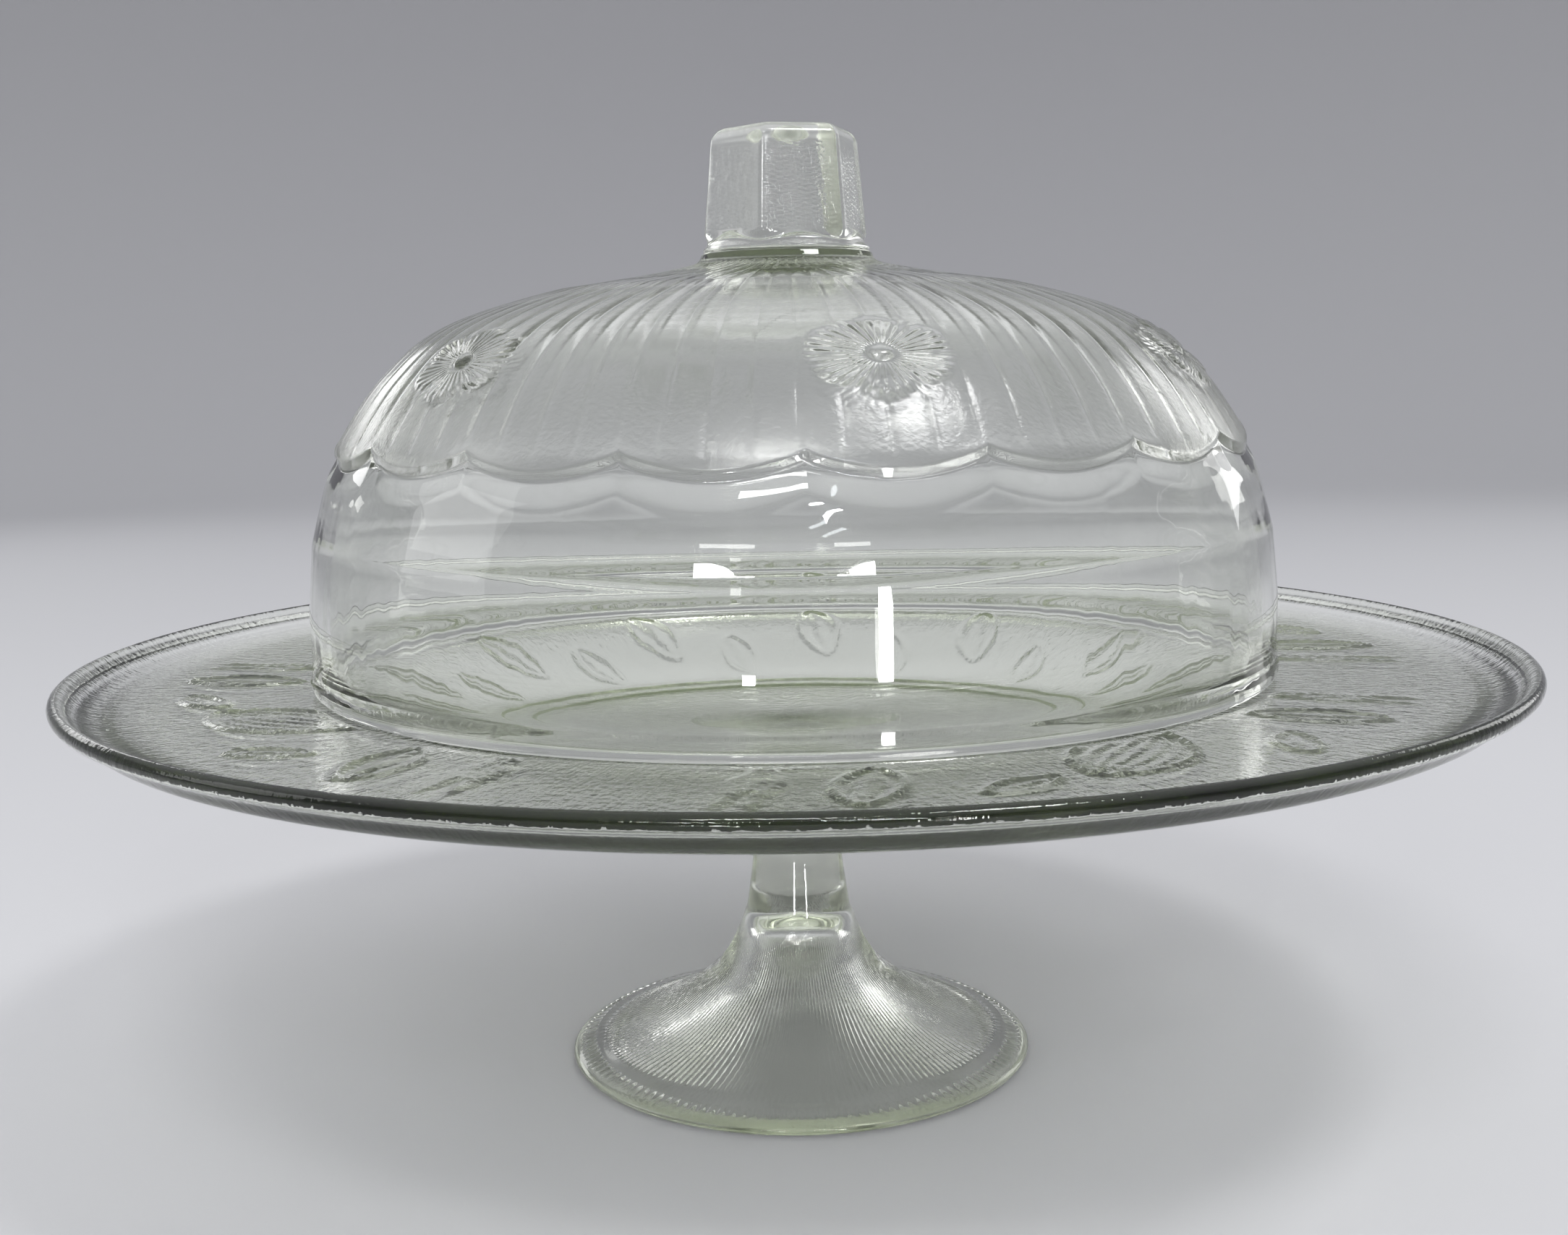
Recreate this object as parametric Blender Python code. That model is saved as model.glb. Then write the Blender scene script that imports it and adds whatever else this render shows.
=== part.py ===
"""Pressed-glass cake stand with a lift-off dome. Metres, +Z up, front towards -Y.

The origin is the centre of the foot's resting plane. Four pieces of glass: the pedestal foot
and the dished serving plate on it, which stay together, and the dome with its hexagonal knob,
which lifts straight up off the plate's flange.
"""

import math

import bmesh
import bpy
from mathutils import Matrix, Vector

# Driving dimensions.
PLATE_RADIUS = 0.185
PLATE_RIM_TOP = 0.112
FLANGE_TOP = 0.106
WELL_FLOOR = 0.0875
WELL_RADIUS = 0.080
WELL_EDGE_RADIUS = 0.117
DISC_RADIUS = 0.070
PLATE_THICKNESS = 0.005
LIP_WIDTH = 0.011

FOOT_RADIUS = 0.062
STEM_RADIUS = 0.0120
STEM_HEAD_RADIUS = 0.028

DOME_RADIUS = 0.1242
DOME_RIM_RADIUS = 0.1249
DOME_WALL = 0.004
CROWN_TOP = 0.214
COLLAR_RADIUS = 0.0222
SCALLOPS = 19
SCALLOP_CUSP = 0.1680
SCALLOP_SAG = 0.0042
LEDGE_ABOVE = (0.1145, 0.1690)
LEDGE_BELOW = (0.1165, 0.1640)
LEDGE_DROP = 0.0010
RELIEF = 0.0009
CUSP_TURN = math.radians(1.45)

KNOB_TOP = 0.245
KNOB_BASE_APOTHEM = 0.0190
KNOB_TOP_APOTHEM = 0.0170
KNOB_SHOULDER = 0.0042
KNOB_TURN = math.radians(12.5)
KNOB_TOE_HEIGHT = 0.0048
KNOB_SHARPNESS = 34
DIMPLE_RADIUS = 0.0074
DIMPLE_DEPTH = 0.0050

JOINT_GAP = 0.0003

PLATE_SIDES = 60
DOME_SIDES = 4 * SCALLOPS
FOOT_SIDES = 40
KNOB_SIDES = 48


def arc(centre, radius, start, end, count):
    """Points on an arc in the (radius, height) plane, angles in degrees from the outward direction."""
    turns = [math.radians(start + (end - start) * i / count) for i in range(count + 1)]
    return [(centre[0] + radius * math.cos(t), centre[1] + radius * math.sin(t)) for t in turns]


def through(points, count):
    """A smooth curve through the points, with count steps between neighbours."""
    ends = [points[0]] + list(points) + [points[-1]]
    curve = [points[0]]
    for a, b, c, d in zip(ends, ends[1:], ends[2:], ends[3:]):
        for i in range(1, count + 1):
            t = i / count
            curve.append(tuple(
                0.5 * (2 * q + (r - p) * t + (2 * p - 5 * q + 4 * r - s) * t ** 2 + (3 * q - p - 3 * r + s) * t ** 3)
                for p, q, r, s in zip(a, b, c, d)
            ))
    return curve


def s_curve(start, end, count):
    """A curve that leaves start level and reaches end level."""
    steps = [i / count for i in range(count + 1)]
    return [
        (start[0] + (end[0] - start[0]) * t, start[1] + (end[1] - start[1]) * (3 * t ** 2 - 2 * t ** 3))
        for t in steps
    ]


def glass(name, colour, roughness):
    """A clear glass material with a faint tint."""
    material = bpy.data.materials.new(name)
    material.use_nodes = True
    shader = material.node_tree.nodes["Principled BSDF"]
    shader.inputs["Base Color"].default_value = (*colour, 1.0)
    shader.inputs["Roughness"].default_value = roughness
    shader.inputs["Metallic"].default_value = 0.0
    shader.inputs["IOR"].default_value = 1.52
    shader.inputs["Transmission Weight"].default_value = 1.0
    return material


def place(name, bm, material, parent):
    """Turns the bmesh, whose points are in world places, into a named object under its parent."""
    bmesh.ops.recalc_face_normals(bm, faces=bm.faces)
    mesh = bpy.data.meshes.new(name)
    bm.to_mesh(mesh)
    bm.free()
    mesh.transform(Matrix.Translation(-parent.location))
    mesh.shade_smooth()
    mesh.set_sharp_from_angle(angle=math.radians(35))
    mesh.materials.append(material)
    piece = bpy.data.objects.new(name, mesh)
    bpy.context.scene.collection.objects.link(piece)
    piece.parent = parent
    return piece


def turned(outline, sides):
    """A solid of revolution about Z, from an outline that starts and ends on the axis."""
    bm = bmesh.new()
    verts = [bm.verts.new((r, 0.0, z)) for r, z in outline]
    edges = [bm.edges.new(pair) for pair in zip(verts, verts[1:])]
    bmesh.ops.spin(
        bm,
        geom=verts + edges,
        cent=Vector((0, 0, 0)),
        axis=Vector((0, 0, 1)),
        angle=math.tau,
        steps=sides,
        use_merge=True,
    )
    bmesh.ops.remove_doubles(bm, verts=bm.verts, dist=1e-6)
    return bm


def plate_outline():
    """Across the plate from its middle: a smooth disc, a stepped ring, the well, the flange and the lip."""
    floor = WELL_FLOOR
    ring = [
        (0.0, floor),
        (DISC_RADIUS, floor),
        (DISC_RADIUS + 0.0015, floor + 0.0008),
        (WELL_RADIUS - 0.0020, floor + 0.0008),
    ]
    well = s_curve((WELL_RADIUS, floor + 0.0016), (WELL_EDGE_RADIUS, FLANGE_TOP), 5)
    lip_foot = PLATE_RADIUS - LIP_WIDTH
    lip = through([(lip_foot, FLANGE_TOP + 0.0003), (lip_foot + 0.0045, FLANGE_TOP + 0.0018),
                   (PLATE_RADIUS - 0.0030, PLATE_RIM_TOP - 0.0006)], 2)
    edge = arc((PLATE_RADIUS - 0.0020, PLATE_RIM_TOP - 0.0020), 0.0020, 80, -40, 4)
    below = FLANGE_TOP - PLATE_THICKNESS
    wall = through([(PLATE_RADIUS - 0.0042, PLATE_RIM_TOP - 0.0052), (PLATE_RADIUS - 0.0080, FLANGE_TOP - 0.0026),
                    (PLATE_RADIUS - 0.0150, below)], 2)
    under = s_curve((WELL_EDGE_RADIUS + 0.0035, below), (WELL_RADIUS + 0.0025, floor - PLATE_THICKNESS), 5)
    return ring + well + lip + edge + wall + under + [(0.0, floor - PLATE_THICKNESS)]


def foot_outline():
    """Down the outside of the foot from the middle of its head, then back up the hollow inside."""
    head = WELL_FLOOR - PLATE_THICKNESS - JOINT_GAP
    neck = through([(STEM_HEAD_RADIUS, head - 0.0012), (0.0190, head - 0.0050), (0.0138, head - 0.0120),
                    (STEM_RADIUS, head - 0.0230)], 2)
    trumpet = through([(STEM_RADIUS, 0.0540), (0.0139, 0.0400), (0.0190, 0.0277), (0.0258, 0.0200),
                       (0.0380, 0.0115), (0.0530, 0.0056)], 2)
    rim = through([(FOOT_RADIUS - 0.0055, 0.0048), (FOOT_RADIUS - 0.0026, 0.0038), (FOOT_RADIUS, 0.0021),
                   (FOOT_RADIUS - 0.0030, 0.0)], 2)
    hollow = through([(0.0545, 0.0), (0.0500, 0.0016), (0.0350, 0.0074), (0.0225, 0.0157), (0.0145, 0.0245),
                      (0.0092, 0.0345), (0.0, 0.0385)], 2)
    return [(0.0, head), (STEM_HEAD_RADIUS - 0.0010, head)] + neck + trumpet + rim + hollow


def dome_outline():
    """Down the outside of the dome from the collar, round its thick rim and up the inside to the crown."""
    rest = FLANGE_TOP + JOINT_GAP
    collar = through([(COLLAR_RADIUS, CROWN_TOP - 0.0008), (0.0240, CROWN_TOP - 0.0030),
                      (0.0340, CROWN_TOP - 0.0052), (0.0600, 0.2048)], 2)
    shoulder = through([(0.0600, 0.2048), (0.0882, 0.1960), (0.1041, 0.1835), LEDGE_ABOVE], 2)[1:]
    ledge = [(LEDGE_BELOW[0] - RELIEF, LEDGE_BELOW[1])]
    wall = through([(0.1188, 0.1580), (0.1228, 0.1430), (DOME_RADIUS, 0.1270), (DOME_RADIUS, rest + 0.0060)], 1)
    rim = arc((DOME_RIM_RADIUS - 0.0026, rest + 0.0026), 0.0026, 0, -90, 3)
    rim += arc((DOME_RIM_RADIUS - 0.0034, rest + 0.0026), 0.0026, -90, -170, 3)
    inner = DOME_RADIUS - DOME_WALL
    inside = through([(inner, rest + 0.0080), (inner, 0.1290), (0.1172, 0.1500), (0.1098, 0.1680),
                      (0.0990, 0.1820), (0.0850, 0.1920), (0.0580, 0.2002), (0.0240, 0.2052)], 1)
    return [(0.0, CROWN_TOP)] + collar + shoulder + ledge + wall + rim + inside + [(0.0, 0.2062)]


def scallop_height(angle):
    """The height of the relief's lower edge: sagging arcs between upward cusps."""
    across = ((angle - CUSP_TURN) * SCALLOPS / math.tau) % 1.0
    return SCALLOP_CUSP - SCALLOP_SAG * math.sin(math.pi * across) ** 0.8


def scallop(bm):
    """Slides the relief's two edge rows along the outside of the wall, into scallops."""
    slope = (LEDGE_BELOW[0] - LEDGE_ABOVE[0]) / (LEDGE_ABOVE[1] - LEDGE_BELOW[1])
    rows = {LEDGE_ABOVE: (0.0, 0.0), LEDGE_BELOW: (LEDGE_DROP, RELIEF)}
    for vert in bm.verts:
        radius = math.hypot(vert.co.x, vert.co.y)
        for (row_radius, row_height), (drop, relief) in rows.items():
            if math.dist((radius, vert.co.z), (row_radius - relief, row_height)) > 1e-5:
                continue
            height = scallop_height(math.atan2(vert.co.x, -vert.co.y)) - drop
            stretch = (LEDGE_ABOVE[0] + slope * (LEDGE_ABOVE[1] - height) - relief) / radius
            vert.co = (vert.co.x * stretch, vert.co.y * stretch, height)
            break


def build_plate(stand, material):
    place("serving_plate", turned(plate_outline(), PLATE_SIDES), material, stand)


def build_foot(stand, material):
    place("pedestal_foot", turned(foot_outline(), FOOT_SIDES), material, stand)


def build_dome(dome, material):
    bm = turned(dome_outline(), DOME_SIDES)
    bmesh.ops.rotate(bm, verts=bm.verts, cent=Vector((0, 0, 0)), matrix=Matrix.Rotation(CUSP_TURN, 3, "Z"))
    scallop(bm)
    place("dome_shell", bm, material, dome)


def knob_outline():
    """Out from the dimple in the knob's top, over its shoulder and down its side to the flared toe."""
    foot = CROWN_TOP + JOINT_GAP
    ball = (DIMPLE_RADIUS ** 2 + DIMPLE_DEPTH ** 2) / (2 * DIMPLE_DEPTH)
    half_turn = math.degrees(math.asin(DIMPLE_RADIUS / ball))
    dimple = arc((0.0, KNOB_TOP - DIMPLE_DEPTH + ball), ball, -90, half_turn - 90, 6)
    shoulder = arc((KNOB_TOP_APOTHEM - KNOB_SHOULDER, KNOB_TOP - KNOB_SHOULDER), KNOB_SHOULDER, 90, 4, 4)
    toe = through([(KNOB_BASE_APOTHEM - 0.0002, foot + KNOB_TOE_HEIGHT), (KNOB_BASE_APOTHEM + 0.0006, foot + 0.0022),
                   (COLLAR_RADIUS - 0.0006, foot + 0.0003), (COLLAR_RADIUS - 0.0010, foot)], 2)
    return dimple + shoulder + toe + [(0.0, foot)]


def ramp(value, low, high):
    """0 at or below low, 1 at or above high, smooth between."""
    t = min(max((value - low) / (high - low), 0.0), 1.0)
    return t * t * (3 - 2 * t)


def hexagon(angle):
    """How much further out a rounded hexagon lies than the middle of its sides."""
    total = sum(max(0.0, math.cos(angle - math.radians(60 * k))) ** KNOB_SHARPNESS for k in range(6))
    return total ** (-1 / KNOB_SHARPNESS)


def build_knob(dome, material):
    """A tapered hexagonal block with rounded corners, which turns round at its toe and round its dimple."""
    foot = CROWN_TOP + JOINT_GAP
    bm = turned(knob_outline(), KNOB_SIDES)
    for vert in bm.verts:
        radius = math.hypot(vert.co.x, vert.co.y)
        share = ramp(radius, DIMPLE_RADIUS + 0.0006, KNOB_TOP_APOTHEM - KNOB_SHOULDER + 0.0008)
        share *= ramp(vert.co.z, foot + 0.0002, foot + KNOB_TOE_HEIGHT)
        stretch = 1 + share * (hexagon(math.atan2(vert.co.x, -vert.co.y)) - 1)
        vert.co.x *= stretch
        vert.co.y *= stretch
    bmesh.ops.rotate(bm, verts=bm.verts, cent=Vector((0, 0, 0)), matrix=Matrix.Rotation(KNOB_TURN, 3, "Z"))
    place("dome_knob", bm, material, dome)


def main():
    for leftover in list(bpy.data.objects):
        bpy.data.objects.remove(leftover)

    bodies = {"stand": 0.0, "dome": FLANGE_TOP + JOINT_GAP}
    empties = {}
    for name, height in bodies.items():
        empties[name] = bpy.data.objects.new(name, None)
        empties[name].location = (0, 0, height)
        bpy.context.scene.collection.objects.link(empties[name])

    build_foot(empties["stand"], glass("foot_glass", (0.93, 0.94, 0.93), 0.08))
    build_plate(empties["stand"], glass("plate_glass", (0.90, 0.92, 0.89), 0.06))
    build_dome(empties["dome"], glass("dome_glass", (0.91, 0.93, 0.90), 0.04))
    build_knob(empties["dome"], glass("knob_glass", (0.94, 0.95, 0.95), 0.10))


main()
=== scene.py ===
"""Looks of a pressed-glass cake stand with a lift-off dome. Metres, +Z up, front towards -Y.

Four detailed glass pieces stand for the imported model's four nodes: the pedestal foot with its
fine radial ribs, the dished plate with its wreath, the pleated and scalloped dome, and the
pebbled hexagonal knob. Angles about the axis are measured from the front towards +X.
"""

import math

import bpy
import numpy as np
from mathutils import Matrix, Quaternion, Vector


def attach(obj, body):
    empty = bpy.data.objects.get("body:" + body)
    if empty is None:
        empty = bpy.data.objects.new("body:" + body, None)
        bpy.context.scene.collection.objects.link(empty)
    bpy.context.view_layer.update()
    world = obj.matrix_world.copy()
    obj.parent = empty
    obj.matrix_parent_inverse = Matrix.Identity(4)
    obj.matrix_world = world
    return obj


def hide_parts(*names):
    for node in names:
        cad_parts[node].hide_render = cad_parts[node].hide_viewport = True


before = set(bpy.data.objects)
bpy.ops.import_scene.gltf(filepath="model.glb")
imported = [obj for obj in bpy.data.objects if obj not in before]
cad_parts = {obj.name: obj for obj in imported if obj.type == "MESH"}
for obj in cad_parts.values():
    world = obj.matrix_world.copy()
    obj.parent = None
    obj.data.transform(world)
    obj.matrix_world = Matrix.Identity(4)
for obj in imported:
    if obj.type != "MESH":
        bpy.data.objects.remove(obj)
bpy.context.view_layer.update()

# Driving dimensions, as in the CAD.
PLATE_RADIUS = 0.18495
PLATE_RIM_TOP = 0.112
FLANGE_TOP = 0.106
WELL_FLOOR = 0.0875
WELL_RADIUS = 0.080
WELL_EDGE_RADIUS = 0.117
DISC_RADIUS = 0.070
PLATE_THICKNESS = 0.005
LIP_WIDTH = 0.011

FOOT_RADIUS = 0.062
STEM_RADIUS = 0.0120
STEM_HEAD_RADIUS = 0.028

DOME_RADIUS = 0.1242
DOME_RIM_RADIUS = 0.1249
DOME_WALL = 0.004
CROWN_TOP = 0.214
COLLAR_RADIUS = 0.0222
SCALLOPS = 19
SCALLOP_CUSP = 0.1680
SCALLOP_SAG = 0.0042
SCALLOP_EDGE = 0.1640
RELIEF = 0.0009
CUSP_TURN = math.radians(1.45)

KNOB_TOP = 0.245
KNOB_BASE_APOTHEM = 0.0190
KNOB_TOP_APOTHEM = 0.0170
KNOB_SHOULDER = 0.0042
KNOB_TURN = math.radians(12.5)
KNOB_TOE_HEIGHT = 0.0048
DIMPLE_RADIUS = 0.0074
DIMPLE_DEPTH = 0.0050

JOINT_GAP = 0.0003
TURN = math.tau


# Outlines in the (radius, height) plane.

def arc(centre, radius, start, end, count):
    """Points on an arc, angles in degrees from the outward direction."""
    turns = np.radians(np.linspace(start, end, count + 1))
    return [(centre[0] + radius * math.cos(t), centre[1] + radius * math.sin(t)) for t in turns]


def through(points, count=8):
    """A smooth curve through the points, with count steps between neighbours."""
    ends = [points[0]] + list(points) + [points[-1]]
    curve = [points[0]]
    for a, b, c, d in zip(ends, ends[1:], ends[2:], ends[3:]):
        for i in range(1, count + 1):
            t = i / count
            curve.append(tuple(
                0.5 * (2 * q + (r - p) * t + (2 * p - 5 * q + 4 * r - s) * t ** 2
                       + (3 * q - p - 3 * r + s) * t ** 3)
                for p, q, r, s in zip(a, b, c, d)
            ))
    return curve


def s_curve(start, end, count=24):
    """A curve that leaves start level and reaches end level."""
    steps = [i / count for i in range(count + 1)]
    return [
        (start[0] + (end[0] - start[0]) * t, start[1] + (end[1] - start[1]) * (3 * t ** 2 - 2 * t ** 3))
        for t in steps
    ]


class Band:
    """A stretch of outline, cut into rows at most step apart, each row with every stride-th column.

    relief(along, radius, height, angle) is how far the surface stands out, in metres, and
    slide(along, angle) is how far a point is moved along the outline.
    """

    def __init__(self, points, step, stride=1, relief=None, slide=None):
        points = np.array(points, float)
        lengths = np.hypot(*np.diff(points, axis=0).T)
        points = points[np.concatenate([[True], lengths > 1e-9])]
        self.along = np.concatenate([[0.0], np.cumsum(lengths[lengths > 1e-9])])
        self.radius, self.height = points.T
        self.rows = np.linspace(0.0, self.along[-1], max(1, math.ceil(self.along[-1] / step)) + 1)
        self.stride = stride
        self.relief = relief
        self.slide = slide

    def at(self, along):
        return np.interp(along, self.along, self.radius), np.interp(along, self.along, self.height)

    def ring(self, along, angle):
        """The row's points, one for each angle."""
        place = along + (self.slide(along, angle) if self.slide else 0.0 * angle)
        radius, height = self.at(place)
        if self.relief:
            before = self.at(np.clip(place - 2e-4, 0.0, self.along[-1]))
            after = self.at(np.clip(place + 2e-4, 0.0, self.along[-1]))
            run, drop = after[0] - before[0], after[1] - before[1]
            size = np.hypot(run, drop)
            out = self.relief(along, radius, height, angle)
            radius = radius - out * drop / size
            height = height + out * run / size
        return np.column_stack([radius * np.sin(angle), -radius * np.cos(angle), height])


def turned(name, bands, angles):
    """A closed body of revolution about Z, from bands that run outwards from the axis and back to it."""
    rings = []
    for band in bands:
        for along in band.rows if band is bands[0] else band.rows[1:]:
            stride = band.stride
            if rings and len(rings[-1]) > 1:
                stride = max(min(stride, 2 * last), last // 2)
            last = stride
            points = band.ring(along, angles[::stride])
            rings.append(points if np.hypot(points[0, 0], points[0, 1]) > 1e-7 else points[:1])
    starts = np.concatenate([[0], np.cumsum([len(r) for r in rings])])
    quads, triangles = [], []
    for i, (inner, outer) in enumerate(zip(rings, rings[1:])):
        n, m = len(inner), len(outer)
        a, c = starts[i] + np.arange(n), starts[i + 1] + np.arange(m)
        b, d = np.roll(a, -1), np.roll(c, -1)
        if n == 1:
            triangles.append(np.column_stack([np.full(m, a[0]), c, d]))
        elif m == 1:
            triangles.append(np.column_stack([a, np.full(n, c[0]), b]))
        elif n == m:
            quads.append(np.column_stack([a, c, d, b]))
        elif m == 2 * n:
            middle, far = c[1::2], np.roll(c[::2], -1)
            parts = ((a, c[::2], middle), (a, middle, b), (b, middle, far))
            triangles += [np.column_stack(part) for part in parts]
        else:
            middle, far = a[1::2], np.roll(a[::2], -1)
            parts = ((a[::2], c, middle), (middle, c, d), (middle, d, far))
            triangles += [np.column_stack(part) for part in parts]
    faces = [f for block in quads + triangles for f in block.tolist()]
    mesh = bpy.data.meshes.new(name)
    mesh.from_pydata(np.concatenate(rings).tolist(), [], faces)
    mesh.shade_smooth()
    piece = bpy.data.objects.new(name, mesh)
    bpy.context.scene.collection.objects.link(piece)
    return piece


def paint(piece, name, values):
    """Stores a number or a vector at each point of the piece, for its material."""
    kind, field = ("FLOAT_VECTOR", "vector") if values.ndim == 2 else ("FLOAT", "value")
    layer = piece.data.attributes.new(name, kind, "POINT")
    layer.data.foreach_set(field, np.ascontiguousarray(values, np.float32).ravel())


def even_angles(count):
    return np.arange(count) * TURN / count


# Shapes that the reliefs are made of. Lengths in metres.

def ramp(value, low, high):
    """0 at or below low, 1 at or above high, smooth between."""
    t = np.clip((value - low) / (high - low), 0.0, 1.0)
    return t * t * (3 - 2 * t)


def ridge(distance, width):
    """A rounded ridge, 1 high, that has died away at about its width."""
    return np.exp(-(2 * distance / width) ** 2)


def wrapped(angle, period=TURN):
    """The angle brought to within half a period of zero."""
    return (angle + period / 2) % period - period / 2


# The plate.

PLATE_COLUMNS = 900
WREATH_GROUPS = 4
WREATH_TURN = math.radians(30.0)
WREATH_RELIEF = 0.00075
WREATH_INNER_RADIUS = 0.1250
SLOPE_LEAVES = 24
SLOPE_LEAF_TURN = math.radians(-94.5)
SLOPE_RELIEF = 0.00070


def lens_leaf(along, across, length, width, veins):
    """A raised leaf outline with lines inside that run from tip to tip."""
    t = along / length + 0.5
    inside = (t > 0) & (t < 1)
    half = width / 2 * np.sin(math.pi * np.clip(t, 0.0, 1.0)) ** 0.75 + 1e-5
    side = across / half
    fall = np.maximum(0.0, np.abs(side) - 1) * half
    rim = ridge(np.abs(across) - half, 0.0018)
    lines = 0.55 * np.cos(math.pi * veins * np.clip(side, -1, 1)) ** 2 * ramp(half, 0.0010, 0.0030)
    return np.where(inside, np.maximum(rim, lines * (fall == 0)), 0.0)


def wheat_ear(along, across):
    """An ear that grows along the positive axis: paired slanting grains, then long fine awns."""
    height = 0.6 * ridge(across, 0.0016) * (along > -0.002) * (along < 0.021)
    for k in range(6):
        start = 0.0005 + 0.0034 * k
        for side in (-1, 1):
            lean = math.radians(24 - 1.5 * k)
            u = (along - start) * math.cos(lean) + side * across * math.sin(lean)
            v = side * across * math.cos(lean) - (along - start) * math.sin(lean)
            grain = np.exp(-((u - 0.0036) / 0.0030) ** 2 - (v / 0.0010) ** 2)
            awn = 0.7 * ridge(v + 4.0 * u ** 2, 0.0017) * ramp(u, 0.004, 0.007) * ramp(-u, -0.019, -0.012)
            height = np.maximum(height, np.maximum(grain, awn))
    return height


def leaning(radius, across, middle, degrees):
    """Distances along and across an axis that leans this far from the outward direction."""
    lean = math.radians(degrees)
    out = radius - middle
    return (out * math.cos(lean) + across * math.sin(lean), across * math.cos(lean) - out * math.sin(lean))


# Leaves of one group: turn from its middle in degrees, radius, lean in degrees, length, width, inner lines.
WREATH_LEAVES = (
    (0.0, 0.1365, -57.0, 0.0440, 0.0240, 3),
    (-24.5, 0.1430, -14.0, 0.0310, 0.0130, 1),
    (24.0, 0.1430, 16.0, 0.0300, 0.0130, 1),
    (-13.5, 0.1500, -66.0, 0.0200, 0.0085, 1),
    (13.0, 0.1515, -48.0, 0.0200, 0.0085, 1),
)
WREATH_EARS = ((32.5, 8.0), (57.5, -8.0))


def flange_relief(along, radius, height, angle):
    """Four groups clear of the dome's rim: a big lined leaf, smaller ones and two ears of wheat."""
    relief = np.zeros_like(angle)
    period = TURN / WREATH_GROUPS
    for turn, lean in WREATH_EARS:
        across = radius * wrapped(angle - WREATH_TURN - math.radians(turn), period)
        relief = np.maximum(relief, wheat_ear(*leaning(radius, across, WREATH_INNER_RADIUS, lean)))
    for turn, middle, lean, length, width, lines in WREATH_LEAVES:
        across = radius * wrapped(angle - WREATH_TURN - math.radians(turn), period)
        place = leaning(radius, across, middle, lean)
        relief = np.maximum(relief, lens_leaf(*place, length, width, lines))
    return WREATH_RELIEF * relief * ramp(radius, WREATH_INNER_RADIUS, WREATH_INNER_RADIUS + 0.0018)


def slope_relief(along, radius, height, angle):
    """Leaf outlines that stand out on the well's slope, at two heights in turn."""
    relief = np.zeros_like(angle)
    pitch = TURN / SLOPE_LEAVES
    for turn, middle, length, width in ((0.0, 0.1040, 0.0240, 0.0115), (pitch, 0.0930, 0.0190, 0.0095)):
        across = radius * wrapped(angle - SLOPE_LEAF_TURN - turn, 2 * pitch)
        relief = np.maximum(relief, lens_leaf(*leaning(radius, across, middle, 20.0), length, width, 1))
    return SLOPE_RELIEF * relief


def build_plate():
    floor = WELL_FLOOR
    below = FLANGE_TOP - PLATE_THICKNESS
    lip_foot = PLATE_RADIUS - LIP_WIDTH
    disc = [(0.0, floor), (DISC_RADIUS - 0.0008, floor)]
    step = s_curve((DISC_RADIUS - 0.0008, floor), (DISC_RADIUS + 0.0008, floor + 0.0008))
    ledge = [step[-1], (WELL_RADIUS - 0.0022, floor + 0.0008)]
    ring = s_curve((WELL_RADIUS - 0.0022, floor + 0.0008), (WELL_RADIUS - 0.0008, floor + 0.0016))
    well = s_curve((WELL_RADIUS - 0.0008, floor + 0.0016), (WELL_EDGE_RADIUS, FLANGE_TOP))
    flange = [(WELL_EDGE_RADIUS, FLANGE_TOP), (lip_foot, FLANGE_TOP + 0.0003)]
    lip = through([(lip_foot, FLANGE_TOP + 0.0003), (lip_foot + 0.0045, FLANGE_TOP + 0.0018),
                   (PLATE_RADIUS - 0.0030, PLATE_RIM_TOP - 0.0006)])
    edge = arc((PLATE_RADIUS - 0.0020, PLATE_RIM_TOP - 0.0020), 0.0020, 100, -50, 16)
    wall = through([edge[-1], (PLATE_RADIUS - 0.0042, PLATE_RIM_TOP - 0.0052),
                    (PLATE_RADIUS - 0.0080, FLANGE_TOP - 0.0026), (PLATE_RADIUS - 0.0150, below)])
    plain = [wall[-1], (WELL_EDGE_RADIUS + 0.0035, below)]
    under = s_curve((WELL_EDGE_RADIUS + 0.0035, below), (WELL_RADIUS + 0.0025, floor - PLATE_THICKNESS))
    middle = [under[-1], (0.0, floor - PLATE_THICKNESS)]
    bands = [
        Band(disc, 0.0060, 4),
        Band(step, 0.00035, 4),
        Band(ledge, 0.0025, 4),
        Band(ring, 0.00035, 4),
        Band(well, 0.0011, 1, slope_relief),
        Band(flange, 0.0011, 1, flange_relief),
        Band(lip + edge[1:], 0.0010, 2),
        Band(wall, 0.0012, 4),
        Band(plain, 0.0060, 4),
        Band(under, 0.0022, 4),
        Band(middle, 0.0060, 4),
    ]
    return turned("plate_pressed_glass", bands, even_angles(PLATE_COLUMNS))


# The foot.

FOOT_RIBS = 180
RIB_COLUMNS = 6
RIB_HEIGHT = 0.00020
FOOT_DASHES = 135
DASH_DEPTH = 0.00045


def rib_relief(along, radius, height, angle):
    """Fine ribs down the trumpet, which lean a little as they go out."""
    lean = 1.8 * (radius - 0.020)
    fade = ramp(radius, 0.0150, 0.0230) * ramp(-radius, -0.0530, -0.0510)
    sway = 0.006 * np.sin(7 * angle + 160 * radius) + 0.004 * np.sin(13 * angle - 90 * radius)
    return RIB_HEIGHT * fade * np.cos(FOOT_RIBS * (angle + lean + sway))


def dash_relief(along, radius, height, angle):
    """A ring of short strokes near the foot's edge."""
    fade = ramp(radius, 0.0558, 0.0568) * ramp(-radius, -0.0600, -0.0588) * ramp(height, 0.0026, 0.0034)
    return -DASH_DEPTH * fade * (0.5 + 0.5 * np.cos(FOOT_DASHES * angle)) ** 1.5


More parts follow.
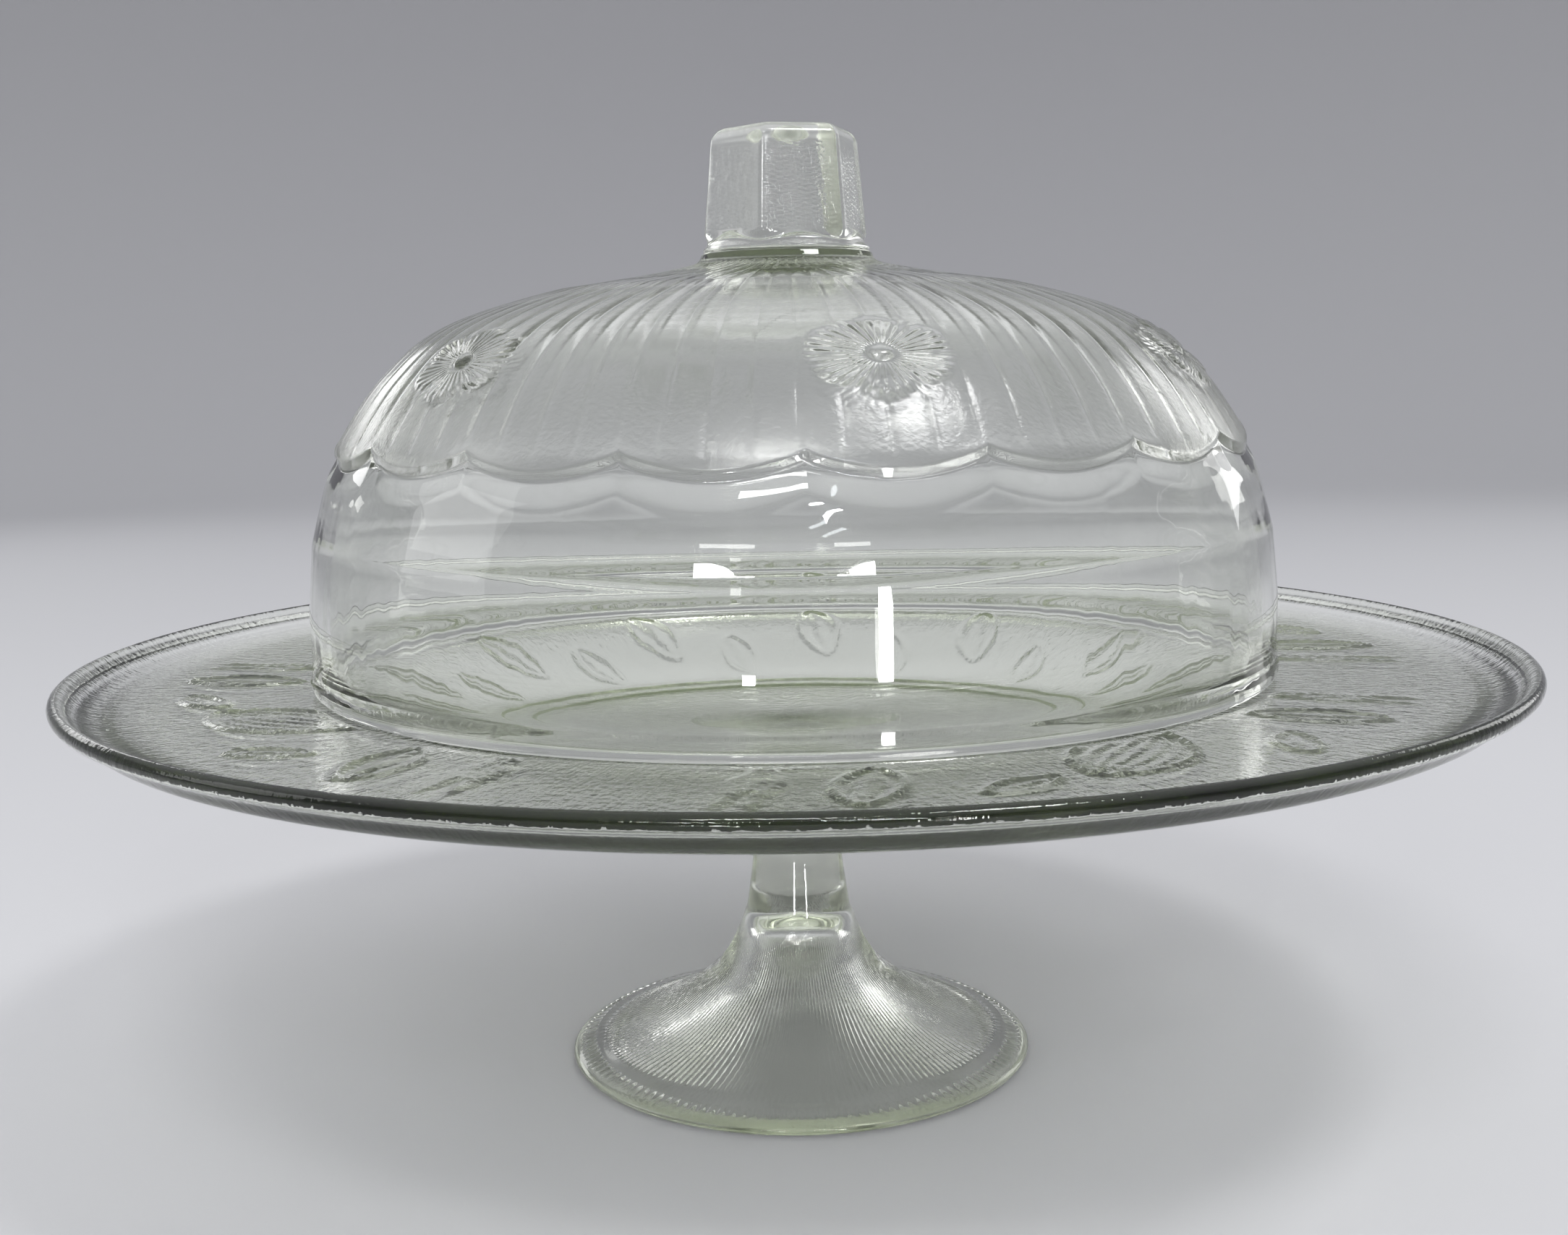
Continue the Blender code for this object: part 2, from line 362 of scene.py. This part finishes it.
def build_foot():
    head = WELL_FLOOR - PLATE_THICKNESS - JOINT_GAP
    stem_foot, trumpet_end, hollow_edge = (0.0139, 0.0400), (0.0530, 0.0056), (0.0545, 0.0)
    top = [(0.0, head), (STEM_HEAD_RADIUS - 0.0010, head)]
    neck = through([top[-1], (STEM_HEAD_RADIUS, head - 0.0012), (0.0190, head - 0.0050),
                    (0.0138, head - 0.0120), (STEM_RADIUS, head - 0.0230), (STEM_RADIUS, 0.0540),
                    stem_foot])
    trumpet = through([stem_foot, (0.0190, 0.0277), (0.0258, 0.0200), (0.0380, 0.0115), trumpet_end])
    brim = through([trumpet_end, (FOOT_RADIUS - 0.0055, 0.0048), (FOOT_RADIUS - 0.0026, 0.0038),
                    (FOOT_RADIUS, 0.0021), (FOOT_RADIUS - 0.0011, 0.0006), (FOOT_RADIUS - 0.0030, 0.0)])
    ring = [brim[-1], hollow_edge]
    hollow = through([hollow_edge, (0.0500, 0.0016), (0.0350, 0.0074), (0.0225, 0.0157),
                      (0.0145, 0.0245), (0.0092, 0.0345), (0.0, 0.0385)])
    bands = [
        Band(top, 0.0060, 8),
        Band(neck, 0.0012, 8),
        Band(trumpet, 0.0013, 1, rib_relief),
        Band(brim, 0.0005, 1, dash_relief),
        Band(ring, 0.0020, 4),
        Band(hollow, 0.0016, 8),
    ]
    return turned("foot_ribbed_glass", bands, even_angles(RIB_COLUMNS * FOOT_RIBS))


# The dome.

PLEATS = 4 * SCALLOPS
PLEAT_TURN = CUSP_TURN - math.radians(0.5)
PLEAT_DEPTH = 0.00017
PLEAT_WIDTH = 0.0013
FLOWER_EVERY = 3
FLOWER_HEIGHT = 0.1870
FLOWER_HALF_WIDTH = 0.0165
FLOWER_HALF_HEIGHT = 0.0122
FLOWER_RELIEF = 0.00080
FLUTE_HEIGHT = 0.00016
BEAD_HEIGHT = 0.00018
PETALS = 6


def collar_relief(along, radius, height, angle):
    """The pleats' upper ends, and small flutes where the cap flares out from the knob."""
    pleat = wrapped(angle - PLEAT_TURN, TURN / PLEATS) * radius
    flutes = ramp(radius, 0.0228, 0.0250) * (1 - ramp(radius, 0.0300, 0.0400))
    return (-PLEAT_DEPTH * ramp(radius, 0.028, 0.045) * ridge(pleat, PLEAT_WIDTH)
            + FLUTE_HEIGHT * flutes * np.cos(PLEATS * angle))


def dome_angles():
    """Columns that crowd round each pleat."""
    offsets = np.radians([-0.50, -0.25, 0.0, 0.25, 0.50, 0.90, 1.30, 1.75, 2.25, 2.75, 3.20, 3.65])
    starts = PLEAT_TURN + np.arange(PLEATS) * TURN / PLEATS
    return (starts[:, None] + offsets[None, :]).ravel()


def scallop_height(angle):
    """The height of the relief's lower edge: sagging arcs between upward cusps."""
    across = ((angle - CUSP_TURN) * SCALLOPS / TURN) % 1.0
    return SCALLOP_CUSP - SCALLOP_SAG * np.sin(math.pi * across) ** 0.8


def flower(across, down):
    """A flower about 1 in radius: hollowed petals round a small button."""
    reach = np.hypot(across, down) + 1e-6
    turn = np.arctan2(across, down)
    lobe = np.abs(np.cos(PETALS / 2 * turn))
    size = 0.66 + 0.34 * lobe ** 0.6
    petal = ramp(size - reach, 0.0, 0.10) * (0.35 + 0.65 * lobe ** 0.5)
    dish = 0.45 * ridge(reach - 0.55 * size, 0.60) * lobe
    button = 1.2 * ramp(0.22 - reach, 0.0, 0.14)
    return np.where(reach < 1.05, np.maximum(petal - dish, 0.0) * ramp(reach, 0.20, 0.32) + button, 0.0)


def flower_angles():
    middle = CUSP_TURN + 0.5 * TURN / SCALLOPS
    return [middle + k * FLOWER_EVERY * TURN / SCALLOPS for k in range(-3, 3)]


def build_dome():
    rest = FLANGE_TOP + JOINT_GAP
    inner = DOME_RADIUS - DOME_WALL
    top = [(0.0, CROWN_TOP), (COLLAR_RADIUS - 0.0008, CROWN_TOP)]
    flare, shoulder, wall_top = (0.0340, CROWN_TOP - 0.0052), (0.0600, 0.2048), (0.1228, 0.1430)
    collar = through([(COLLAR_RADIUS - 0.0008, CROWN_TOP), (COLLAR_RADIUS, CROWN_TOP - 0.0008),
                      (0.0240, CROWN_TOP - 0.0030), flare, shoulder])
    cap = through([flare, shoulder, (0.0882, 0.1960), (0.1041, 0.1835),
                   (0.1145, 0.1690), (0.1165, SCALLOP_EDGE), (0.1188, 0.1580), wall_top])
    cap = [p for p in cap if p[0] >= shoulder[0] - 1e-9]
    wall = through([wall_top, (DOME_RADIUS, 0.1270), (DOME_RADIUS, rest + 0.0060),
                    (DOME_RIM_RADIUS, rest + 0.0032)])
    rim = arc((DOME_RIM_RADIUS - 0.0026, rest + 0.0026), 0.0026, 0, -90, 8)
    rim += arc((DOME_RIM_RADIUS - 0.0034, rest + 0.0026), 0.0026, -90, -170, 8)
    inside = through([rim[-1], (inner, rest + 0.0080), (inner, 0.1290), (0.1172, 0.1500),
                      (0.1098, 0.1680), (0.0990, 0.1820), (0.0850, 0.1920), (0.0580, 0.2002),
                      (0.0240, 0.2052), (0.0, 0.2062)])

    heights = np.array(cap)[::-1, 1]
    distances = Band(cap, 1.0).along
    edge = np.interp(SCALLOP_EDGE, heights, distances[::-1])
    flower_down = np.interp(FLOWER_HEIGHT, heights, distances[::-1])

    def to_edge(angle):
        return np.interp(scallop_height(angle), heights, distances[::-1]) - edge

    def from_flowers(angle, radius, place):
        """For each flower, how far points lie across and down from its middle, in its half sizes."""
        down = (place - flower_down) / FLOWER_HALF_HEIGHT
        return [(wrapped(angle - turn) * radius / FLOWER_HALF_WIDTH, down) for turn in flower_angles()]

    def slide(along, angle):
        weight = ramp(along, edge - 0.020, edge - 0.004) * (1 - ramp(along, edge + 0.003, edge + 0.016))
        return weight * to_edge(angle)

    def relief(along, radius, height, angle):
        place = along + slide(along, angle)
        below = ramp(along, edge, edge + 0.0009) * (1 - ramp(along, edge + 0.0009, edge + 0.0090))
        bead = ridge(along - edge + 0.0006, 0.0016) - 0.4 * ridge(along - edge - 0.0016, 0.0016)
        pleat = wrapped(angle - PLEAT_TURN, TURN / PLEATS) * radius
        foot = edge + to_edge(angle)
        depth = ramp(radius, 0.028, 0.045) * (1 - ramp(place, foot - 0.0045, foot - 0.0030))
        blossom = np.zeros_like(angle)
        for across, down in from_flowers(angle, radius, place):
            blossom = np.maximum(blossom, flower(across, down))
            depth = depth * (1 - ramp(-np.hypot(across, down), -1.15, -1.0))
        return (-RELIEF * below + BEAD_HEIGHT * bead - PLEAT_DEPTH * ridge(pleat, PLEAT_WIDTH) * depth
                + FLOWER_RELIEF * blossom)

    bands = [
        Band(top, 0.0060, 16),
        Band(collar, 0.0011, 2, collar_relief),
        Band(cap, 0.00105, 1, relief, slide),
        Band(wall, 0.0022, 4),
        Band(rim, 0.0008, 4),
        Band(inside, 0.0030, 4),
    ]
    piece = turned("dome_pleated_glass", bands, dome_angles())
    points = np.array([v.co for v in piece.data.vertices])
    radius, height = np.hypot(points[:, 0], points[:, 1]), points[:, 2]
    angle = np.arctan2(points[:, 0], -points[:, 1])
    cap_radius = np.interp(height, heights, np.array(cap)[::-1, 0])
    outside = (radius > cap_radius - 0.0020) & (height > SCALLOP_EDGE)
    place = np.interp(height, heights, distances[::-1])
    ground = outside * ramp(height, scallop_height(angle) - 0.0002, scallop_height(angle) + 0.0006)
    paint(piece, "stipple", ground * (0.25 + 0.75 * (1 - ramp(height, 0.1760, 0.1860))))
    frost = 0.45 + 0.55 * (1 - ramp(height, 0.1740, 0.1860)) + 0.35 * ramp(height, 0.2035, 0.2080)
    paint(piece, "frost", ground * frost)
    nearest = np.full((len(points), 3), 9.0)
    for across, down in from_flowers(angle, radius, place):
        near = outside & (np.hypot(across, down) < 1.6)
        nearest[near] = np.column_stack([across, down, 0.0 * down])[near]
    paint(piece, "blossom", nearest)
    return piece


# The knob.

KNOB_COLUMNS = 352
KNOB_MEAN_RADIUS = 0.020
DENT_DEPTH = 0.00010


def hexagon(angle, sharpness=34):
    """How much further out a rounded hexagon lies than the middle of its sides."""
    total = sum(np.maximum(0.0, np.cos(angle - KNOB_TURN - k * TURN / 6)) ** sharpness for k in range(6))
    return total ** (-1 / sharpness)


def hammered(height, angle):
    """How bold the dents are here: set facet by facet, boldest at the front, none at the corners."""
    facet = (angle - KNOB_TURN) / (TURN / 6)
    bold = np.choose(np.round(facet).astype(int) % 6, (1.0, 0.8, 0.25, 0.8, 0.5, 0.15))
    fade = ramp(height, CROWN_TOP + 0.003, CROWN_TOP + 0.006)
    fade = fade * ramp(-height, -KNOB_TOP + 0.004, -KNOB_TOP + 0.007)
    return fade * bold * (1 - ramp(np.abs(facet - np.round(facet)), 0.40, 0.49))


def pebbles(along, radius, height, angle):
    """Hammered dents, wider than they are high."""
    across = angle * KNOB_MEAN_RADIUS
    columns = np.sin(across * 3300 + 2.1 * np.sin(height * 4100))
    rows = np.sin(height * 9400 + 2.3 * np.sin(across * 1900))
    slanted = np.sin(across * 2300 + height * 5600 + 1.9 * np.sin(height * 5100))
    return DENT_DEPTH * hammered(height, angle) * (columns * rows + 0.4 * slanted)


def build_knob():
    foot = CROWN_TOP + JOINT_GAP
    ball = (DIMPLE_RADIUS ** 2 + DIMPLE_DEPTH ** 2) / (2 * DIMPLE_DEPTH)
    half_turn = math.degrees(math.asin(DIMPLE_RADIUS / ball))
    dimple = arc((0.0, KNOB_TOP - DIMPLE_DEPTH + ball), ball, -90, -90 + half_turn, 16)
    shoulder = arc((KNOB_TOP_APOTHEM - KNOB_SHOULDER, KNOB_TOP - KNOB_SHOULDER), KNOB_SHOULDER, 90, 4, 12)
    flat = [dimple[-1], (DIMPLE_RADIUS + 0.0004, KNOB_TOP), shoulder[0]]
    side = [shoulder[-1], (KNOB_BASE_APOTHEM - 0.0002, foot + KNOB_TOE_HEIGHT)]
    toe = through([side[-1], (KNOB_BASE_APOTHEM + 0.0006, foot + 0.0022),
                   (COLLAR_RADIUS - 0.0006, foot + 0.0003), (COLLAR_RADIUS - 0.0010, foot)])
    base = [toe[-1], (0.0, foot)]
    bands = [
        Band(dimple, 0.0008, 2),
        Band(flat, 0.0008, 2),
        Band(shoulder, 0.0005, 1),
        Band(side, 0.00024, 1, pebbles),
        Band(toe, 0.0004, 2),
        Band(base, 0.0020, 8),
    ]
    knob = turned("knob_pebbled_glass", bands, even_angles(KNOB_COLUMNS))
    for vert in knob.data.vertices:
        radius = math.hypot(vert.co.x, vert.co.y)
        if radius < 1e-6:
            continue
        share = float(ramp(radius, DIMPLE_RADIUS + 0.0006, KNOB_TOP_APOTHEM - KNOB_SHOULDER + 0.0008)
                      * ramp(vert.co.z, foot + 0.0002, foot + KNOB_TOE_HEIGHT))
        stretch = 1 + share * (float(hexagon(math.atan2(vert.co.x, -vert.co.y))) - 1)
        vert.co.x *= stretch
        vert.co.y *= stretch
    points = np.array([v.co for v in knob.data.vertices])
    outside = np.hypot(points[:, 0], points[:, 1]) > 0.0140
    bold = hammered(points[:, 2], np.arctan2(points[:, 0], -points[:, 1]))
    paint(knob, "stipple", outside * bold)
    paint(knob, "frost", outside * ramp(points[:, 2], foot + 0.0030, foot + 0.0060) * (1 - bold))
    return knob


# Materials.

DEPTH_COLOUR = (0.82, 0.85, 0.74, 1.0)
GLASS_IOR = 1.52
PETAL_VEINS = 36


def node(tree, kind, **settings):
    """Adds a node and sets its sockets, named in words, or its own properties."""
    made = tree.nodes.new(kind)
    for name, value in settings.items():
        socket = made.inputs.get(name.replace("_", " ").title())
        if socket is None:
            setattr(made, name, value)
        elif isinstance(value, bpy.types.NodeSocket):
            tree.links.new(value, socket)
        else:
            socket.default_value = value
    return made


def maths(tree, operation, *values):
    """The result of a Math node on sockets or numbers."""
    made = tree.nodes.new("ShaderNodeMath")
    made.operation = operation
    for socket, value in zip(made.inputs, values):
        if isinstance(value, bpy.types.NodeSocket):
            tree.links.new(value, socket)
        else:
            socket.default_value = value
    return made.outputs[0]


def painted(tree, name, output="Fac"):
    """A number or vector that was painted on the piece's points."""
    made = tree.nodes.new("ShaderNodeAttribute")
    made.attribute_name = name
    return made.outputs[output]


def noise(tree, where, size, detail=2.0):
    return node(tree, "ShaderNodeTexNoise", Vector=where, Scale=1 / size, Detail=detail).outputs["Fac"]


def squared_reach(tree, split):
    """The squared distance from the axis, or from a flower's middle, out of separate coordinates."""
    return maths(tree, "ADD", *[maths(tree, "MULTIPLY", split[axis], split[axis]) for axis in "XY"])


def polar(tree, where, around, outward):
    """Places measured round the axis, at radius around, and out from it, scaled by outward."""
    split = node(tree, "ShaderNodeSeparateXYZ", Vector=where).outputs
    angle = maths(tree, "ARCTAN2", split["X"], maths(tree, "MULTIPLY", split["Y"], -1.0))
    radius = maths(tree, "SQRT", squared_reach(tree, split))
    return node(
        tree,
        "ShaderNodeCombineXYZ",
        X=maths(tree, "MULTIPLY", angle, around),
        Y=maths(tree, "MULTIPLY", radius, outward),
        Z=maths(tree, "MULTIPLY", split["Z"], outward),
    ).outputs["Vector"]


def petal_veins(tree):
    """Fine veins that run out from the middle of each flower, in millimetres of height."""
    split = node(tree, "ShaderNodeSeparateXYZ", Vector=painted(tree, "blossom", "Vector")).outputs
    reach = maths(tree, "SQRT", squared_reach(tree, split))
    turn = maths(tree, "ARCTAN2", split["X"], split["Y"])
    wave = maths(tree, "COSINE", maths(tree, "MULTIPLY", turn, float(PETAL_VEINS)))
    inner = node(tree, "ShaderNodeMapRange", Value=reach, From_Min=0.22, From_Max=0.36)
    outer = node(tree, "ShaderNodeMapRange", Value=reach, From_Min=1.0, From_Max=0.80)
    return maths(tree, "MULTIPLY", maths(tree, "MULTIPLY", wave, 0.11),
                 maths(tree, "MULTIPLY", inner.outputs["Result"], outer.outputs["Result"]))


def glass(name, density, smudge, grains, veins=False, frost=0.0):
    """Clear glass: a grey-green tint in its depth, smudged gloss, and a surface with fine grains.

    Each grain is a size in metres, a height in millimetres, how it is stretched, as polar() takes
    it, or None, and the painted number that limits it, or None.
    """
    material = bpy.data.materials.new(name)
    material.use_nodes = True
    tree = material.node_tree
    shader = tree.nodes["Principled BSDF"]
    shader.inputs["Base Color"].default_value = (0.98, 0.985, 0.975, 1.0)
    shader.inputs["IOR"].default_value = GLASS_IOR
    shader.inputs["Transmission Weight"].default_value = 1.0
    where = node(tree, "ShaderNodeTexCoord").outputs["Object"]
    rough = node(
        tree,
        "ShaderNodeMapRange",
        Value=noise(tree, where, 0.026, 4.0),
        From_Min=0.35,
        From_Max=0.75,
        To_Min=smudge[0],
        To_Max=smudge[1],
    ).outputs["Result"]
    if frost:
        rough = maths(tree, "MULTIPLY_ADD", painted(tree, "frost"), frost, rough)
    tree.links.new(rough, shader.inputs["Roughness"])
    height = petal_veins(tree) if veins else 0.0
    for size, depth, stretch, limit in grains:
        grain = noise(tree, polar(tree, where, *stretch) if stretch else where, size)
        scale = maths(tree, "MULTIPLY", painted(tree, limit), depth) if limit else depth
        height = maths(tree, "MULTIPLY_ADD", grain, scale, height)
    bump = node(tree, "ShaderNodeBump", Height=height, Strength=1.0, Distance=0.001)
    tree.links.new(bump.outputs["Normal"], shader.inputs["Normal"])
    inside = node(tree, "ShaderNodeVolumeAbsorption", Color=DEPTH_COLOUR, Density=density)
    tree.links.new(inside.outputs["Volume"], tree.nodes["Material Output"].inputs["Volume"])
    return material


# The floor, the light and the camera.

FLOOR_SIDES = 96
CAMERA_LENS = 40.80
CAMERA_DISTANCE = 0.4686
CAMERA_HEIGHT = 0.1846
CAMERA_DOWN = math.radians(8.03)
CAMERA_ASIDE = math.radians(-0.30)
CAMERA_ROLL = math.radians(-1.09)


def build_stage():
    """A pale round floor that rises into a low wall all round, a little darker away from the middle."""
    sweep = [(0.0, 0.0), (2.2, 0.0)] + arc((2.2, 0.9), 0.9, -90, 0, 12)[1:] + [(3.1, 1.5)]
    rings = np.array(sweep)
    mesh = bpy.data.meshes.new("floor_sweep")
    turns = even_angles(FLOOR_SIDES)
    verts = [(0.0, 0.0, 0.0)]
    for radius, height in rings[1:]:
        verts += [(radius * math.sin(t), -radius * math.cos(t), height) for t in turns]
    pairs = [(j, (j + 1) % FLOOR_SIDES) for j in range(FLOOR_SIDES)]
    faces = [(0, 1 + j, 1 + k) for j, k in pairs]
    for i in range(len(rings) - 2):
        low, high = 1 + FLOOR_SIDES * i, 1 + FLOOR_SIDES * (i + 1)
        faces += [(low + j, high + j, high + k, low + k) for j, k in pairs]
    mesh.from_pydata(verts, [], faces)
    mesh.shade_smooth()
    floor = bpy.data.objects.new("floor_sweep", mesh)
    bpy.context.scene.collection.objects.link(floor)
    material = bpy.data.materials.new("pale_floor")
    material.use_nodes = True
    shader = material.node_tree.nodes["Principled BSDF"]
    shader.inputs["Roughness"].default_value = 0.7
    tree = material.node_tree
    where = node(tree, "ShaderNodeTexCoord").outputs["Object"]
    split = node(tree, "ShaderNodeSeparateXYZ", Vector=where).outputs
    tone = node(tree, "ShaderNodeValToRGB", Fac=maths(tree, "MULTIPLY", squared_reach(tree, split), 0.2))
    near, far = tone.color_ramp.elements
    near.position, near.color = 0.06, (0.57, 0.57, 0.585, 1.0)
    far.position, far.color = 0.80, (0.49, 0.49, 0.505, 1.0)
    tree.links.new(tone.outputs["Color"], shader.inputs["Base Color"])
    mesh.materials.append(material)


def softbox(name, place, aim, size, power, slant=0.0, colour=(1.0, 1.0, 1.0)):
    """A rectangular light that faces the point aim, slanted in degrees, and not seen by the camera."""
    light = bpy.data.lights.new(name, "AREA")
    light.shape = "RECTANGLE"
    light.size, light.size_y = size
    light.energy = power
    light.color = colour
    lamp = bpy.data.objects.new(name, light)
    lamp.location = place
    facing = (Vector(aim) - Vector(place)).to_track_quat("-Z", "Y")
    lamp.rotation_euler = (facing @ Quaternion((0, 0, 1), math.radians(slant))).to_euler()
    lamp.visible_camera = False
    bpy.context.scene.collection.objects.link(lamp)


def build_light():
    """Soft boxes above and at the sides, strips in front for glints, and a sky brightest overhead."""
    world = bpy.data.worlds.new("studio")
    bpy.context.scene.world = world
    world.use_nodes = True
    tree = world.node_tree
    where = node(tree, "ShaderNodeTexCoord").outputs["Generated"]
    up = node(tree, "ShaderNodeSeparateXYZ", Vector=where).outputs["Z"]
    tone = node(tree, "ShaderNodeValToRGB", Fac=up)
    dim, bright = tone.color_ramp.elements
    dim.position, dim.color = 0.30, (0.34, 0.34, 0.36, 1.0)
    bright.position, bright.color = 0.85, (0.95, 0.96, 0.99, 1.0)
    tree.links.new(tone.outputs["Color"], tree.nodes["Background"].inputs["Color"])
    softbox("key", (0.65, -0.55, 1.75), (0, 0, 0.1), (0.42, 0.36), 9)
    softbox("left", (-1.7, -0.2, 0.75), (0, 0, 0.15), (0.8, 1.0), 3)
    softbox("right_back", (1.5, 1.2, 0.8), (0, 0, 0.15), (0.5, 1.0), 3)
    softbox("left_back", (-1.3, 1.5, 0.7), (0, 0, 0.12), (1.0, 0.3), 2)
    softbox("streak", (0.20, -0.62, 0.105), (0, 0, 0.115), (0.026, 0.18), 0.5)
    softbox("glint", (-0.10, -0.62, 0.030), (0, 0, 0.11), (0.030, 0.05), 0.25)
    softbox("front_top", (-0.10, -1.10, 1.45), (0, 0, 0.1), (0.50, 0.16), 5)
    softbox("slanted_low", (0.20, -1.18, 0.72), (0, 0, 0.15), (0.15, 0.030), 0.9, 40, (0.90, 0.94, 1.0))
    softbox("slanted_high", (0.12, -1.14, 0.80), (0, 0, 0.15), (0.12, 0.030), 0.7, 40, (0.90, 0.94, 1.0))
    softbox("tube_left", (-0.38, -1.45, 0.68), (0, 0, 0.15), (0.34, 0.06), 2.6)
    softbox("tube_right", (0.36, -1.45, 0.68), (0, 0, 0.15), (0.22, 0.06), 1.7)


def build_camera():
    """Level with the dome's flowers, in front of the stand, looking 8 degrees down."""
    pitch, yaw, roll = CAMERA_DOWN, CAMERA_ASIDE, CAMERA_ROLL
    ahead = Vector((math.sin(yaw) * math.cos(pitch), math.cos(yaw) * math.cos(pitch), -math.sin(pitch)))
    right = Vector((math.cos(yaw), -math.sin(yaw), 0.0))
    up = right.cross(ahead)
    tilted_right = math.cos(roll) * right + math.sin(roll) * up
    tilted_up = math.cos(roll) * up - math.sin(roll) * right
    camera = bpy.data.objects.new("camera", bpy.data.cameras.new("camera"))
    camera.data.sensor_width = 36.0
    camera.data.lens = CAMERA_LENS
    turn = Matrix((tilted_right, tilted_up, -ahead)).transposed()
    camera.matrix_world = Matrix.Translation((0.0, -CAMERA_DISTANCE, CAMERA_HEIGHT)) @ turn.to_4x4()
    bpy.context.scene.collection.objects.link(camera)
    bpy.context.scene.camera = camera


def render_settings():
    cycles = bpy.context.scene.cycles
    cycles.max_bounces = 24
    cycles.transmission_bounces = 24
    cycles.glossy_bounces = 12
    cycles.volume_bounces = 0
    cycles.sample_clamp_indirect = 10.0
    cycles.use_denoising = True
    bpy.context.scene.view_settings.view_transform = "Standard"


def main():
    build_camera()
    build_stage()
    build_light()
    render_settings()
    for piece, body, stands_for, slot, material in (
        (build_foot(), "stand", "pedestal_foot", "foot_glass",
         glass("foot_glass", 25.0, (0.02, 0.09), [(0.0015, 0.020, None, None)])),
        (build_plate(), "stand", "serving_plate", "plate_glass",
         glass("plate_glass", 70.0, (0.01, 0.05),
               [(0.0010, 0.085, (0.14, 0.15), None), (0.0022, 0.100, None, None),
                (0.0009, 0.020, None, None)])),
        (build_dome(), "dome", "dome_shell", "dome_glass",
         glass("dome_glass", 30.0, (0.0, 0.03),
               [(0.0180, 0.150, (0.12, 0.3), None), (0.0011, 0.090, None, "stipple")],
               veins=True, frost=0.24)),
        (build_knob(), "dome", "dome_knob", "knob_glass",
         glass("knob_glass", 12.0, (0.0, 0.04),
               [(0.0013, 0.100, (0.020, 3.4), "stipple"), (0.0020, 0.012, None, None)], frost=0.13)),
    ):
        piece.data.materials.append(material)
        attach(piece, body)
        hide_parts(stands_for)
        print("piece", piece.name, len(piece.data.polygons))


main()
